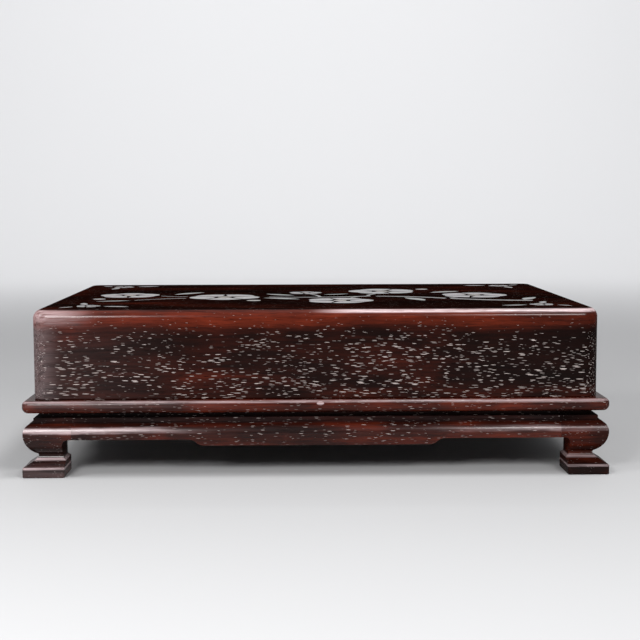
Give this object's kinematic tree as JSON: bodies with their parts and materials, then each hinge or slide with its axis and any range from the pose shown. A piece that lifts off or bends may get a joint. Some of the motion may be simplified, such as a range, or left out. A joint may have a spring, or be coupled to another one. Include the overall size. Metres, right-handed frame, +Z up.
{
  "type": "inkstone box",
  "caption": "Low wooden box on a footed stand, with a lift-off lid inlaid with shell blossoms, and an ink stone and ink stick bedded in a tray inside.",
  "frame": {"origin": "centre of the footprint, on the surface the feet stand on", "axes": "+X along the front to the right, +Y from the front to the back, +Z up"},
  "size_m": [0.2584, 0.1764, 0.0736],
  "materials": {
    "rosewood": "polished, open pored",
    "rosewood_inside": "oiled",
    "rosewood_underside": "planed",
    "tongue_wood": "sawn",
    "pearl_shell": "polished shell",
    "warm_shell": "polished shell",
    "green_shell": "polished shell",
    "branch_shell": "polished shell",
    "slate": "fine honed",
    "ink": "smooth pressed soot and glue"
  },
  "bodies": {
    "stand": {"plate_front_rail": "rosewood", "plate_back_rail": "rosewood", "plate_left_rail": "rosewood", "plate_right_rail": "rosewood", "apron_front": "rosewood", "apron_back": "rosewood", "apron_left": "rosewood", "apron_right": "rosewood", "leg_front_left": "rosewood", "leg_front_right": "rosewood", "leg_back_left": "rosewood", "leg_back_right": "rosewood", "lip_front_strip": "rosewood_inside", "lip_back_strip": "rosewood_inside", "lip_left_strip": "rosewood_inside", "lip_right_strip": "rosewood_inside", "tray_board": "rosewood_inside", "floor_panel": "rosewood_underside", "floor_batten_left": "rosewood_underside", "floor_batten_right": "rosewood_underside", "stand_keys": "tongue_wood"},
    "lid": {"lid_top_board": "rosewood", "lid_front_board": "rosewood", "lid_back_board": "rosewood", "lid_left_board": "rosewood", "lid_right_board": "rosewood", "lid_corner_splines": "tongue_wood", "lid_top_splines": "tongue_wood", "inlay_blossom_petals": "pearl_shell", "inlay_corner_sprigs": "pearl_shell", "inlay_blossom_hearts": "warm_shell", "inlay_buds": "warm_shell", "inlay_leaves": "green_shell", "inlay_branch": "branch_shell"},
    "ink_stone": {"ink_stone": "slate"},
    "ink_stick": {"ink_stick": "ink"}
  },
  "joints": [
    {"name": "lid_lift", "type": "slide", "parent": "stand", "child": "lid", "axis": [0, 0, 1], "range_m": [0, 0.08]},
    {"name": "stone_lift", "type": "slide", "parent": "stand", "child": "ink_stone", "axis": [0, 0, 1], "range_m": [0, 0.0095]},
    {"name": "stick_lift", "type": "slide", "parent": "stand", "child": "ink_stick", "axis": [0, 0, 1], "range_m": [0, 0.02]}
  ]
}
